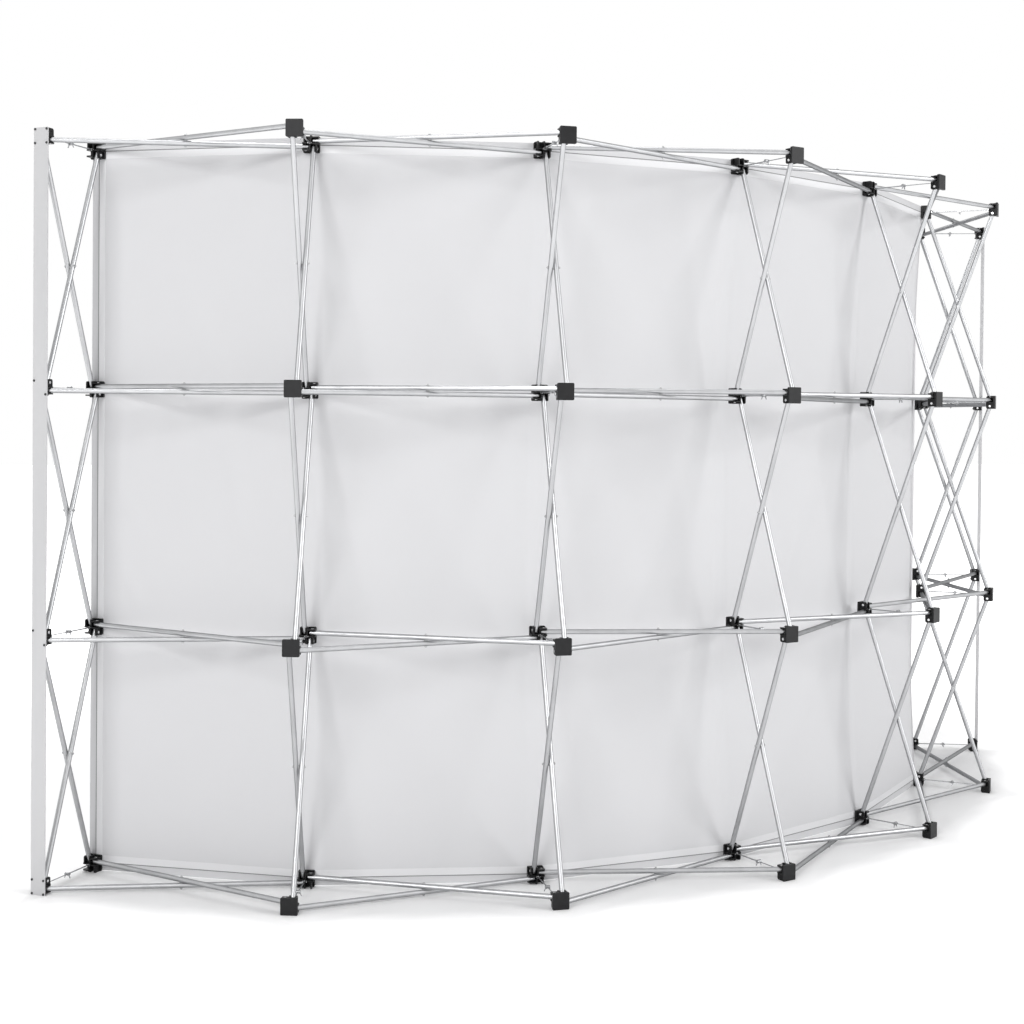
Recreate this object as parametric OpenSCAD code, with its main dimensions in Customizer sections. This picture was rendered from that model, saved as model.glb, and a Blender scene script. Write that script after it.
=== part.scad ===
// Pop up display backwall: a curved folding lattice, six bays wide and three rows high,
// with a fabric panel stretched over its hollow front side.
// The rear of the wall faces +Y and the fabric faces -Y. The wall stands on z = 0.

/* [Frame] */
// Height from one level of hubs to the next
row_height = 735; // [650:5:800]
// Distance from the front pins to the rear pins at one station
frame_depth = 244; // [210:1:280]
// Angle of the arc from one station to the next
bay_angle = 17.8; // [14:0.1:19]
// Radius of the arc through the front pins
front_radius = 2256; // [2000:1:2800]

/* [Hubs] */
// Width and height of a hub
hub_w = 50; // [47:0.5:58]
// Corner radius of hubs, caps and plates
hub_corner = 4; // [2:0.5:6]
// Thickness of a hub's base
hub_base_t = 5; // [4.5:0.5:8]
// Thickness of each fork ear
ear_t = 4; // [3.5:0.25:5]
// Distance that the ears reach beyond the side of a tube
ear_reach = 6; // [4:0.5:8]
// Distance from a fork pin to the side of its hub
pin_to_edge = 10; // [8:0.5:11]
// Rounding at the free corner of an ear
ear_round = 6; // [3:0.5:7]
// Diameter of the boss in the middle of a hub
boss_d = 10; // [9:0.5:11]

/* [Tubes] */
// Outer diameter of every tube
tube_d = 15; // [13:0.5:16]
// Wall of every tube
tube_wall = 1; // [0.8:0.1:1.6]
// Length of tube beyond the pin in its end
tube_nose = 7; // [5:0.5:7.5]
// Free height between the side of a tube and its hub's base
tube_to_base = 4; // [3.5:0.5:8]

/* [Pins and rivets] */
// Diameter of the fork pins
pin_d = 3.2; // [3:0.1:4]
// Diameter of a fork pin's head
pin_head_d = 8; // [6:0.5:9]
// Height of a fork pin's head
pin_head_h = 1.2; // [0.8:0.1:1.8]
// Diameter of the rivets where tubes cross
rivet_d = 3.2; // [3:0.1:4]
// Diameter of a crossing rivet's heads
rivet_head_d = 9; // [7:0.5:10]
// Height of a crossing rivet's heads
rivet_head_h = 1.2; // [1:0.1:2.2]
// Diameter of the closed end that stands out of each head
rivet_end_d = 5; // [4:0.5:6]
// Height of those ends
rivet_end_h = 3.2; // [1:0.1:4]
// Outer diameter of the washer between crossing tubes
washer_d = 11; // [9:0.5:12]
// Thickness of that washer
washer_t = 1.8; // [1:0.1:3]

/* [Locking arms] */
// Diameter of the rod of a locking arm
arm_rod_d = 4; // [3:0.25:4.5]
// Diameter of the rod fixed in a rear hub
lock_rod_d = 3; // [2.5:0.25:3.5]
// Diameter of the cross bar at the end of a fixed rod
cross_bar_d = 3; // [2.5:0.25:3.5]
// Length of that cross bar
cross_bar_l = 10; // [8:0.5:12]
// Diameter of an arm's hinge pin
hinge_pin_d = 3; // [2.5:0.25:3.5]
// Diameter of the eye round the hinge pin
eye_d = 7; // [6:0.25:8]
// Width of the eye between its lugs
eye_w = 4.2; // [4:0.1:5]
// Thickness of each lug
lug_t = 2.6; // [2:0.1:3.5]
// Radius of the clip round the cross bar
clip_r = 6; // [5:0.25:7]
// Length of each splayed leg of the clip
clip_leg = 8; // [5:0.5:10]
// Thickness of the clip's cheeks and legs
clip_wall = 1.6; // [1.2:0.1:2]

/* [Caps and end posts] */
// Thickness of the caps on the rear hubs and of the plates on the front hubs
cap_t = 3; // [2:0.25:4]
// Width of the bevel round a cap
cap_bevel = 0.8; // [0.4:0.1:1.2]
// Diameter of the pegs that hold a cap
peg_d = 2.4; // [2:0.1:2.6]
// Length of those pegs
peg_l = 3.5; // [2:0.25:3.75]
// Diameter of the four holes in a hub's face
pilot_d = 2.8; // [2.8:0.1:3.2]
// Depth of those holes
pilot_depth = 4; // [4:0.1:4.2]
// Distance from those holes to the sides of the hub
pilot_to_edge = 4.75; // [4.5:0.25:5.5]
// Thickness of the end posts
post_t = 3; // [2:0.25:5]
// Diameter of the heads of the post screws
screw_head_d = 7; // [5:0.5:8]
// Height of those heads
screw_head_h = 2; // [1.5:0.1:2.5]
// Diameter of the post screws
screw_d = 2.6; // [2:0.1:2.7]
// Length of screw inside the hub
screw_grip = 3.7; // [2.5:0.1:3.8]

/* [Fabric] */
// Thickness of the fabric
fabric_t = 1.2; // [0.8:0.1:2]
// Thickness of the loop tape sewn round the edge
tape_t = 0.8; // [0.6:0.1:1.2]
// Width of the tape
tape_w = 46; // [40:1:46]
// Width of the sewn groove along the middle of the tape
tape_groove_w = 2; // [1:0.5:4]
// Width and height of the hook pads
pad_w = 44; // [30:1:44]
// Thickness of the hook pads
pad_t = 1.5; // [1:0.1:2.5]
// How far the cloth draws in, away from the middle station's hubs, between its held edges
draw_in = 60; // [0:5:100]
// Depth of the slack folds in the middle of a bay
fold_depth = 9; // [0:0.5:12]
// Depth of the slanting ripples that pull towards the hubs
ripple_depth = 4; // [0:0.5:6]

/* [Clearances] */
// Gap between a tube and each ear of its fork
slot_gap = 0.3; // [0.2:0.05:0.4]
// Radial gap round the pins and rivets
pin_gap = 0.15; // [0.1:0.05:0.25]
// Gap between a tube and the heads and washers on it
seat_gap = 0.1; // [0.05:0.05:0.2]
// Radial gap of an arm's hinge
hinge_gap = 0.08; // [0.05:0.01:0.1]
// Gap between the eye and the hub behind it
eye_gap = 0.5; // [0.4:0.1:1]
// Gap round the cross bar and rod inside the clip
clip_gap = 0.3; // [0.25:0.05:0.5]
// Gap between the tape and what lies on either side of it
cloth_gap = 0.1; // [0.05:0.05:0.3]
// Gap where two pieces of tape meet end to end
tape_joint = 0.5; // [0.2:0.1:1]

/* [Hidden] */
stations = 7;
levels = 4;
level_names = ["bottom", "lower", "upper", "top"];
STATIONS = [1 : stations];
LEVELS = [0 : levels - 1];
bays = stations - 1;
rows = levels - 1;

$fn = 32;

// Colours
BLACK = "#26272a";
CAP_BLACK = "#303134";
SILVER = "#c9ccd0";
STEEL = "#b4b7bb";
POST_GREY = "#d4d4d6";
CLOTH = "#e2e2e4";
TAPE = "#d8d8da";

// Overlap by which the pieces of one moulding run into each other
root = 1;

// Places on the hub: x along a fork, y towards the outer face with the pins at y = 0
tube_r = tube_d / 2;
pin_offset = hub_w / 2 - pin_to_edge;
fork_offset = tube_r + washer_t / 2 + seat_gap;
slot_w = tube_d + 2 * slot_gap;
base_y = tube_r + tube_to_base;
face_y = base_y + hub_base_t;
ear_end = tube_r + ear_reach;
inner_ear_z = fork_offset - slot_w / 2 - ear_t;
outer_ear_z = fork_offset + slot_w / 2;
rod_seat_y = base_y - 2;
hinge_head_h = 0.8;
blind_floor_t = 0.8;
blind_depth = ear_t - blind_floor_t;
pilot_at = hub_w / 2 - pilot_to_edge;
eye_y = ear_end + eye_gap + eye_d / 2;
lug_gap = eye_w + 2 * slot_gap;
clip_floor = 0.6 * clip_r;

// Places on the arc
rear_radius = front_radius + frame_depth;
mid_radius = (front_radius + rear_radius) / 2;
cap_outer_radius = rear_radius + face_y + cap_t;
tape_radius = front_radius - face_y - cap_t - pad_t - cloth_gap - tape_t;
cloth_radius = tape_radius - cloth_gap;
cloth_front_radius = cloth_radius - fabric_t;
flat_half = tape_w / 2;
end_angle = bays * bay_angle / 2;
arc_back = cap_outer_radius;
arc_front = cloth_front_radius * cos(end_angle) - flat_half * sin(end_angle);
arc_y = -(arc_back + arc_front) / 2;

// Lengths between pins, and where the tubes cross
half_bay = bay_angle / 2;
rear_half = rear_radius * sin(half_bay) - pin_offset * cos(half_bay);
front_half = front_radius * sin(half_bay) - pin_offset * cos(half_bay);
bay_rise = frame_depth * cos(half_bay);
cross_span = sqrt(pow(rear_half + front_half, 2) + pow(bay_rise, 2));
cross_from_rear = cross_span * rear_half / (rear_half + front_half);
cross_radius = (rear_radius * cos(half_bay) + pin_offset * sin(half_bay))
    - bay_rise * rear_half / (rear_half + front_half);
upright_rise = row_height - 2 * pin_offset;
upright_span = sqrt(pow(upright_rise, 2) + pow(frame_depth, 2));
upright_lean = atan2(frame_depth, upright_rise);

// Cloth grid
bay_steps = 4;
row_steps = 4;

function station_angle(s) = (s - (stations + 1) / 2) * bay_angle;
function level_z(l) = hub_w / 2 + l * row_height;
function outward(angle) = [sin(angle), cos(angle)];
function plan(angle, radius, side) =
    [radius * sin(angle) + side * cos(angle), arc_y + radius * cos(angle) - side * sin(angle)];
function arm_name(s, l) = str("lock_arm_", s, "_", level_names[l]);

// ---------------------------------------------------------------- placing

// Puts a piece at a station of the arc: x runs along the wall and y points to the rear
module at_station(s, radius, z) {
    translate([0, arc_y, 0])
        rotate([0, 0, -station_angle(s)])
            translate([0, radius, z])
                children();
}

module at_rear_hub(s, l) {
    at_station(s, rear_radius, level_z(l))
        children();
}

// The front hub is the rear hub turned half round, so its face points to the front
module at_front_hub(s, l) {
    at_station(s, front_radius, level_z(l))
        rotate([0, 0, 180])
            children();
}

// Draws a flat outline on the hub's face side and extrudes it inwards from the height y
module from_face(y, depth) {
    translate([0, y, 0])
        rotate([90, 0, 0])
            linear_extrude(depth)
                children();
}

// Turns a fork's pieces to one of the four sides of a hub
module at_fork(k) {
    rotate([0, -90 * k, 0])
        children();
}

module at_pilots() {
    for (x = [-pilot_at, pilot_at])
        for (z = [-pilot_at, pilot_at])
            translate([x, 0, z])
                children();
}

// ---------------------------------------------------------------- outlines

module rounded_square(w, r) {
    square([w - 2 * r, w], center = true);
    square([w, w - 2 * r], center = true);
    for (x = [-1, 1])
        for (y = [-1, 1])
            translate([x * (w / 2 - r), y * (w / 2 - r)])
                circle(r);
}

// Side view of an ear: square at the base, with its free corner rounded
module ear_outline() {
    translate([0, -ear_end + ear_round])
        square([hub_w / 2, ear_end - ear_round + base_y + root]);
    translate([0, -ear_end])
        square([hub_w / 2 - ear_round, ear_end + base_y + root]);
    translate([hub_w / 2 - ear_round, -ear_end + ear_round])
        circle(ear_round);
}

// ---------------------------------------------------------------- hub

module ear(z) {
    translate([0, 0, z])
        linear_extrude(ear_t)
            ear_outline();
}

module fork_ears() {
    ear(inner_ear_z);
    ear(outer_ear_z);
}

module fork_bore() {
    translate([pin_offset, 0, outer_ear_z - 1])
        cylinder(d = pin_d + 2 * pin_gap, h = ear_t + 2);
    translate([pin_offset, 0, inner_ear_z + ear_t - blind_depth])
        cylinder(d = pin_d + 2 * pin_gap, h = blind_depth + 1);
}

// One moulding for every hub: a square base that carries four forks set like a pinwheel
module hub() {
    difference() {
        union() {
            from_face(face_y, hub_base_t)
                rounded_square(hub_w, hub_corner);
            for (k = [0 : 3])
                at_fork(k)
                    fork_ears();
            from_face(base_y + root, base_y + root + ear_end)
                circle(d = boss_d);
        }
        for (k = [0 : 3])
            at_fork(k)
                fork_bore();
        at_pilots()
            from_face(face_y + 1, pilot_depth + 1)
                circle(d = pilot_d);
        from_face(rod_seat_y, rod_seat_y + ear_end + 1)
            circle(d = lock_rod_d + 2 * seat_gap);
    }
}

// Two lugs on a front hub, with the bore for the hinge pin of its locking arm
module hinge_lugs() {
    for (side = [-1, 1])
        translate([side * (lug_gap + lug_t) / 2, -eye_y, 0])
            rotate([0, 90, 0])
                difference() {
                    linear_extrude(lug_t, center = true) {
                        translate([-eye_d / 2, 0])
                            square([eye_d, eye_y - ear_end + 3 * root]);
                        circle(d = eye_d);
                    }
                    cylinder(d = hinge_pin_d + 2 * hinge_gap, h = lug_t + 2, center = true);
                }
}

module rear_hubs(l) {
    color(BLACK)
        for (s = STATIONS)
            at_rear_hub(s, l)
                hub();
}

module front_hubs(l) {
    color(BLACK)
        for (s = STATIONS)
            at_front_hub(s, l) {
                hub();
                hinge_lugs();
            }
}

// ---------------------------------------------------------------- tubes

// A tube along x with its first pin at the origin, drilled for both pins and the crossing rivet
module tube(span, crossing) {
    full = span + 2 * tube_nose;
    difference() {
        translate([-tube_nose, 0, 0])
            rotate([90, 0, 90])
                cylinder(d = tube_d, h = full);
        translate([-tube_nose - 1, 0, 0])
            rotate([90, 0, 90])
                cylinder(d = tube_d - 2 * tube_wall, h = full + 2);
        for (x = [0, span])
            translate([x, 0, 0])
                cylinder(d = pin_d + 2 * pin_gap, h = tube_d + 2, center = true);
        translate([crossing, 0, 0])
            cylinder(d = rivet_d + 2 * pin_gap, h = tube_d + 2, center = true);
    }
}

module tube_between(from, to, z, crossing) {
    run = to - from;
    translate([from[0], from[1], z])
        rotate([0, 0, atan2(run[1], run[0])])
            tube(cross_span, crossing);
}

// The crossed tubes of one level: in each bay one high and one low, from hub to hub
module cross_tubes(l) {
    color(SILVER)
        for (s = [1 : bays]) {
            here = station_angle(s);
            next = station_angle(s + 1);
            tube_between(plan(here, rear_radius, pin_offset), plan(next, front_radius, -pin_offset),
                level_z(l) + fork_offset, cross_from_rear);
            tube_between(plan(here, front_radius, pin_offset), plan(next, rear_radius, -pin_offset),
                level_z(l) - fork_offset, cross_span - cross_from_rear);
        }
}

// A leaning tube that hangs from the pin at the origin, towards the front or the rear
module leaning_tube(lean) {
    rotate([lean, 0, 0])
        rotate([0, 90, 0])
            tube(upright_span, upright_span / 2);
}

module upright_tubes(s) {
    color(SILVER)
        for (l = [1 : rows]) {
            at_station(s, rear_radius, level_z(l) - pin_offset)
                translate([fork_offset, 0, 0])
                    leaning_tube(-upright_lean);
            at_station(s, front_radius, level_z(l) - pin_offset)
                translate([-fork_offset, 0, 0])
                    leaning_tube(upright_lean);
        }
}

// ---------------------------------------------------------------- pins, rivets and washers

// A fork pin: its head lies on the outer ear and its tip ends blind in the inner ear
module fork_pin() {
    top = outer_ear_z + ear_t;
    tip = inner_ear_z + ear_t - blind_depth + seat_gap;
    translate([pin_offset, 0, tip])
        cylinder(d = pin_d, h = top - tip + pin_head_h / 2);
    translate([pin_offset, 0, top])
        cylinder(d = pin_head_d, h = pin_head_h);
}

module hub_pins(above, below, right, left) {
    if (right) at_fork(0) fork_pin();
    if (above) at_fork(1) fork_pin();
    if (left) at_fork(2) fork_pin();
    if (below) at_fork(3) fork_pin();
}

module fork_pins() {
    color(STEEL)
        for (s = STATIONS)
            for (l = LEVELS) {
                at_rear_hub(s, l)
                    hub_pins(l < levels - 1, l > 0, s < stations, s > 1);
                at_front_hub(s, l)
                    hub_pins(l < levels - 1, l > 0, s > 1, s < stations);
            }
}

// Places a piece, whose axis is z, at the crossing of every pair of tubes
module at_crossings() {
    for (s = [1 : bays])
        for (l = LEVELS)
            at_station(s + 0.5, cross_radius, level_z(l))
                children();
    for (s = STATIONS)
        for (l = [0 : rows - 1])
            at_station(s, mid_radius, level_z(l) + row_height / 2)
                rotate([0, 90, 0])
                    children();
}

module crossing_rivet() {
    head_z = fork_offset + tube_r + seat_gap;
    cylinder(d = rivet_d, h = 2 * head_z + rivet_head_h, center = true);
    for (side = [0, 180])
        rotate([side, 0, 0])
            translate([0, 0, head_z]) {
                cylinder(d = rivet_head_d, h = rivet_head_h);
                cylinder(d = rivet_end_d, h = rivet_head_h + rivet_end_h);
            }
}

module crossing_rivets() {
    color(STEEL)
        at_crossings()
            crossing_rivet();
}

module crossing_washers() {
    color(STEEL)
        at_crossings()
            difference() {
                cylinder(d = washer_d, h = washer_t, center = true);
                cylinder(d = rivet_d + 2 * pin_gap, h = tube_d, center = true);
            }
}

// ---------------------------------------------------------------- locking arms

// The fixed rod of a rear hub, with the cross bar that a locking arm clips over
module lock_rod() {
    start = rod_seat_y - seat_gap;
    rotate([90, 0, 0])
        translate([0, 0, -start])
            cylinder(d = lock_rod_d, h = start + rear_radius - mid_radius);
    translate([0, mid_radius - rear_radius, 0])
        rotate([0, 90, 0])
            cylinder(d = cross_bar_d, h = cross_bar_l, center = true);
}

module lock_rods() {
    color(STEEL)
        for (s = STATIONS)
            for (l = LEVELS)
                at_rear_hub(s, l)
                    lock_rod();
}

module arm_hinge_pins() {
    pin_l = lug_gap + 2 * lug_t;
    color(STEEL)
        for (s = STATIONS)
            for (l = LEVELS)
                at_front_hub(s, l)
                    translate([0, -eye_y, 0])
                        rotate([0, 90, 0]) {
                            cylinder(d = hinge_pin_d, h = pin_l + hinge_head_h, center = true);
                            for (side = [0, 180])
                                rotate([side, 0, 0])
                                    translate([0, 0, pin_l / 2])
                                        cylinder(d = hinge_pin_d + 2, h = hinge_head_h);
                        }
}

// Side view of the clip's head: round above the cross bar and cut flat below it
module clip_outline(reach) {
    intersection() {
        translate([reach, 0])
            circle(clip_r);
        translate([reach - clip_r, -clip_floor])
            square(2 * clip_r);
    }
}

// The clip, open below, so that it lifts off the cross bar and the fixed rod
module clip(reach) {
    room_x = cross_bar_l / 2 + clip_gap;
    half_w = room_x + clip_wall;
    open_r = cross_bar_d / 2 + clip_gap;
    slot_r = lock_rod_d / 2 + clip_gap;
    neck_w = arm_rod_d + 2 * clip_wall;
    difference() {
        union() {
            rotate([90, 0, 90])
                linear_extrude(2 * half_w, center = true)
                    clip_outline(reach);
            translate([-neck_w / 2, reach - 2 * clip_r, -arm_rod_d / 2])
                cube([neck_w, 2 * clip_r, arm_rod_d]);
        }
        translate([-room_x, reach - open_r, -2 * clip_r])
            cube([2 * room_x, 2 * open_r, 2 * clip_r]);
        translate([0, reach, 0])
            rotate([0, 90, 0])
                cylinder(r = open_r, h = 2 * room_x, center = true);
        translate([-slot_r, reach, -2 * clip_r])
            cube([2 * slot_r, 2 * clip_r, 2 * clip_r + slot_r]);
    }
    for (side = [0, 1])
        mirror([side, 0, 0])
            translate([half_w - clip_wall, reach + open_r, -clip_floor])
                rotate([90, 0, 0])
                    linear_extrude(2 * open_r)
                        polygon([[0, root], [clip_wall, root],
                            [clip_wall + clip_leg / 2, -clip_leg], [clip_leg / 2, -clip_leg]]);
}

// One locking arm, lying along y from its hinge at the origin to the cross bar
module locking_arm() {
    reach = mid_radius - front_radius - eye_y;
    color(STEEL) {
        difference() {
            union() {
                rotate([0, 90, 0])
                    cylinder(d = eye_d, h = eye_w, center = true);
                rotate([-90, 0, 0])
                    cylinder(d = arm_rod_d, h = reach - 2 * clip_r + root);
            }
            rotate([0, 90, 0])
                cylinder(d = hinge_pin_d + 2 * hinge_gap, h = eye_w + 2, center = true);
        }
        clip(reach);
    }
}

module lock_arm(s, l) {
    at_station(s, front_radius + eye_y, level_z(l))
        locking_arm();
}

// ---------------------------------------------------------------- caps, plates and pads

// A square plate with four pegs, seated on the face of a hub
module plate() {
    from_face(face_y + cap_t, cap_t)
        rounded_square(hub_w, hub_corner);
    at_pilots()
        from_face(face_y + root, peg_l + root)
            circle(d = peg_d);
}

// The cap is such a plate with its outer edges bevelled
module cap() {
    top = hub_w - 2 * cap_bevel;
    bevel_side = [[-hub_w / 2, -peg_l - 1], [hub_w / 2, -peg_l - 1], [hub_w / 2, cap_t - cap_bevel],
        [top / 2, cap_t], [-top / 2, cap_t], [-hub_w / 2, cap_t - cap_bevel]];
    intersection() {
        plate();
        translate([0, face_y, 0])
            linear_extrude(hub_w + 2, center = true)
                polygon(bevel_side);
        translate([0, face_y, 0])
            rotate([0, 90, 0])
                linear_extrude(hub_w + 2, center = true)
                    polygon(bevel_side);
    }
}

module rear_caps() {
    color(CAP_BLACK)
        for (s = [2 : stations - 1])
            for (l = LEVELS)
                at_rear_hub(s, l)
                    cap();
}

module front_plates() {
    color(CAP_BLACK)
        for (s = STATIONS)
            for (l = LEVELS)
                at_front_hub(s, l)
                    plate();
}

module hook_pads() {
    color(BLACK)
        for (s = STATIONS)
            for (l = LEVELS)
                at_front_hub(s, l)
                    from_face(face_y + cap_t + pad_t, pad_t)
                        square(pad_w, center = true);
}

// ---------------------------------------------------------------- end posts

// Four screws at the top and bottom hubs and two, set diagonally, at the hubs between
module at_post_screws(s) {
    for (l = LEVELS)
        for (x = [-1, 1])
            for (z = [-1, 1])
                if (l == 0 || l == levels - 1 || x == z)
                    at_rear_hub(s, l)
                        translate([x * pilot_at, face_y, z * pilot_at])
                            rotate([-90, 0, 0])
                                children();
}

module end_post(s) {
    post_h = level_z(levels - 1) + hub_w / 2;
    color(POST_GREY)
        difference() {
            at_station(s, rear_radius + face_y + post_t, 0)
                rotate([90, 0, 0])
                    linear_extrude(post_t)
                        translate([-hub_w / 2, 0])
                            square([hub_w, post_h]);
            at_post_screws(s)
                translate([0, 0, -1])
                    cylinder(d = screw_d + 2 * seat_gap, h = post_t + 2);
        }
}

module left_end_post() {
    end_post(1);
}

module right_end_post() {
    end_post(stations);
}

module post_screw() {
    translate([0, 0, -screw_grip])
        cylinder(d = screw_d, h = screw_grip + post_t + screw_head_h / 2);
    translate([0, 0, post_t])
        cylinder(d = screw_head_d, h = screw_head_h);
}

module post_screws() {
    color(BLACK)
        for (s = [1, stations])
            at_post_screws(s)
                post_screw();
}

// ---------------------------------------------------------------- fabric

// Places along the cloth, each with its arc angle, its plan point and its place across the bay
// from 0 to 1. The cloth is flat across each hook pad and runs straight to the next one.
function pad_spot(s, radius, side) =
    [station_angle(s), plan(station_angle(s), radius, side * flat_half), side > 0 ? 0 : 1, s];
function bay_spot(s, radius, k) =
    let (share = k / bay_steps,
         a = plan(station_angle(s), radius, flat_half),
         b = plan(station_angle(s + 1), radius, -flat_half))
    [station_angle(s) + share * bay_angle, a + share * (b - a), share, s];
function cloth_spots(radius) = [
    for (s = STATIONS) each concat(
        [pad_spot(s, radius, -1), pad_spot(s, radius, 1)],
        s < stations ? [for (k = [1 : bay_steps - 1]) bay_spot(s, radius, k)] : [])
];

// Heights of the cloth's grid: both sides of the tape at each level, and steps between them
held_low = level_z(0) + flat_half;
held_high = level_z(rows) - flat_half;
pad_gap_z = row_height - tape_w;
cloth_heights = [
    for (l = LEVELS) each concat(
        [level_z(l) - flat_half, level_z(l) + flat_half],
        l < rows ? [for (k = [1 : row_steps - 1]) level_z(l) + flat_half + k * pad_gap_z / row_steps] : [])
];

// The cloth is held along its lower and upper edges and up both ends. Between them it draws in
// towards the hollow of the arc, most at the middle station, and clears the hubs of the middle levels.
function station_draw(s) = draw_in * (1 - abs(s - (stations + 1) / 2) / (bays / 2));
function drawn(u, s, up) =
    sqrt(sin(180 * up)) * (u > 0 && u < 1 ? station_draw(s) * (1 - u) + station_draw(s + 1) * u
                                          : station_draw(s));

// Slack folds in the middle of each bay, and ripples that slant across it
function slack(u, s, up) =
    sin(180 * up) * (ripple_depth * cos(540 * u - 500 * up + 100 * s)
        - fold_depth * sin(180 * u) * (0.6 + 0.4 * cos(200 * u + 420 * up + 140 * s)));

// How far the cloth stands back from the line through its held edges
function cloth_stand(spot, z) =
    let (u = spot[2], s = spot[3], up = (z - held_low) / (held_high - held_low))
    up <= 0 || up >= 1 ? 0
    : (u > 0 && u < 1 ? slack(u, s, up) : 0) - drawn(u, s, up);

// Number of a grid point, given as [front or rear, row, column], and the two triangles of a patch
function spot_number(size, at) = (at[0] * size[1] + at[1]) * size[0] + at[2];
function patch(size, a, b, c, d) = [
    [spot_number(size, a), spot_number(size, b), spot_number(size, c)],
    [spot_number(size, a), spot_number(size, c), spot_number(size, d)]];

module cloth_sheet() {
    rear = cloth_spots(cloth_radius);
    n = len(rear);
    m = len(cloth_heights);
    points = [
        for (back = [0, 1])
            for (z = cloth_heights)
                for (spot = rear)
                    let (p = spot[1] + outward(spot[0]) * (cloth_stand(spot, z) - back * fabric_t))
                    [p[0], p[1], z]
    ];
    size = [n, m];
    faces = concat(
        [for (j = [0 : m - 2]) for (i = [0 : n - 2]) each concat(
            patch(size, [0, j, i], [0, j, i + 1], [0, j + 1, i + 1], [0, j + 1, i]),
            patch(size, [1, j, i], [1, j + 1, i], [1, j + 1, i + 1], [1, j, i + 1]))],
        [for (i = [0 : n - 2]) each concat(
            patch(size, [0, 0, i], [1, 0, i], [1, 0, i + 1], [0, 0, i + 1]),
            patch(size, [0, m - 1, i], [0, m - 1, i + 1], [1, m - 1, i + 1], [1, m - 1, i]))],
        [for (j = [0 : m - 2]) each concat(
            patch(size, [0, j, 0], [0, j + 1, 0], [1, j + 1, 0], [1, j, 0]),
            patch(size, [0, j, n - 1], [1, j, n - 1], [1, j + 1, n - 1], [0, j + 1, n - 1]))]
    );
    polyhedron(points, faces);
}

module fabric_panel() {
    color(CLOTH)
        cloth_sheet();
}

// The line of the tape in plan: flat over each pad and straight from pad to pad
function tape_line(depth) =
    [for (s = STATIONS) for (side = [-1, 1]) plan(station_angle(s), tape_radius + depth, side * flat_half)];

// A band of tape that follows the cloth, from one thickness to another, between two heights
module tape_band(low, high, inner, outer) {
    back = tape_line(outer);
    translate([0, 0, low])
        linear_extrude(high - low)
            polygon(concat(tape_line(inner), [for (i = [len(back) - 1 : -1 : 0]) back[i]]));
}

// A band of tape up the side of the cloth, butted against those along its lower and upper edges
module tape_side(s, from, to, inner, outer) {
    corners = [[from, inner], [to, inner], [to, outer], [from, outer]];
    translate([0, 0, level_z(0) + flat_half + tape_joint])
        linear_extrude(rows * row_height - tape_w - 2 * tape_joint)
            polygon([for (c = corners) plan(station_angle(s), tape_radius + c[1], c[0])]);
}

module loop_tape() {
    half_groove = tape_groove_w / 2;
    color(TAPE) {
        for (l = [0, rows]) {
            tape_band(level_z(l) - flat_half, level_z(l) + flat_half, 0, tape_t / 2);
            tape_band(level_z(l) - flat_half, level_z(l) - half_groove, tape_t / 2, tape_t);
            tape_band(level_z(l) + half_groove, level_z(l) + flat_half, tape_t / 2, tape_t);
        }
        for (s = [1, stations]) {
            tape_side(s, -flat_half, flat_half, 0, tape_t / 2);
            tape_side(s, -flat_half, -half_groove, tape_t / 2, tape_t);
            tape_side(s, half_groove, flat_half, tape_t / 2, tape_t);
        }
    }
}

// ---------------------------------------------------------------- the whole wall

for (l = LEVELS) {
    rear_hubs(l);
    front_hubs(l);
    cross_tubes(l);
}
for (s = STATIONS) {
    upright_tubes(s);
    for (l = LEVELS)
        lock_arm(s, l);
}
rear_caps();
front_plates();
hook_pads();
fork_pins();
crossing_rivets();
crossing_washers();
lock_rods();
arm_hinge_pins();
left_end_post();
right_end_post();
post_screws();
loop_tape();
fabric_panel();
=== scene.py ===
"""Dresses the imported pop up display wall.

It gives the lattice its finishes, builds the stretched cloth with the sewn tape round it, and sets
up a plain pale studio with the camera at the photograph's angle. Lengths are in metres.
"""

import logging
import math
from dataclasses import dataclass
from enum import Enum

import bpy
from mathutils import Matrix, Vector


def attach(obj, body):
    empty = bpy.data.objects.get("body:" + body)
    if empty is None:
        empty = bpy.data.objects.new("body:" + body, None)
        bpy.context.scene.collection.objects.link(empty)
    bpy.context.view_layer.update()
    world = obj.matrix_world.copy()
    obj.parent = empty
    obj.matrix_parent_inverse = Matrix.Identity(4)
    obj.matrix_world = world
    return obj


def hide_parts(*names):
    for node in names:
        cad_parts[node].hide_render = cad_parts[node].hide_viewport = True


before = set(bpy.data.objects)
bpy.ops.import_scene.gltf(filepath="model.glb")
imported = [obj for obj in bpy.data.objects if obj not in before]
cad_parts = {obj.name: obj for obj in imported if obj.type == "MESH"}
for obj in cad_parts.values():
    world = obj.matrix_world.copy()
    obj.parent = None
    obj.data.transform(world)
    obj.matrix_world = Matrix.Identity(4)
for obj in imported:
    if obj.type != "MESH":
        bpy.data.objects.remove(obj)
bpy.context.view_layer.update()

log = logging.getLogger("backwall")

Colour = tuple[float, float, float]
Point = tuple[float, float, float]
Plan = tuple[float, float]
Range = tuple[float, float]
Face = tuple[int, ...]
Socket = bpy.types.NodeSocket


class Level(Enum):
    """The four heights at which the lattice has hubs, numbered from the floor."""

    BOTTOM = 0
    LOWER = 1
    UPPER = 2
    TOP = 3


class Edge(Enum):
    """The four edges of the cloth that carry sewn tape."""

    LOWER = "lower"
    UPPER = "upper"
    RIGHT = "right"
    LEFT = "left"

    @property
    def runs_along(self) -> bool:
        """Whether the edge runs along the wall, and not up it."""
        return self in (Edge.LOWER, Edge.UPPER)


# ---------------------------------------------------------------- sizes


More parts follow.
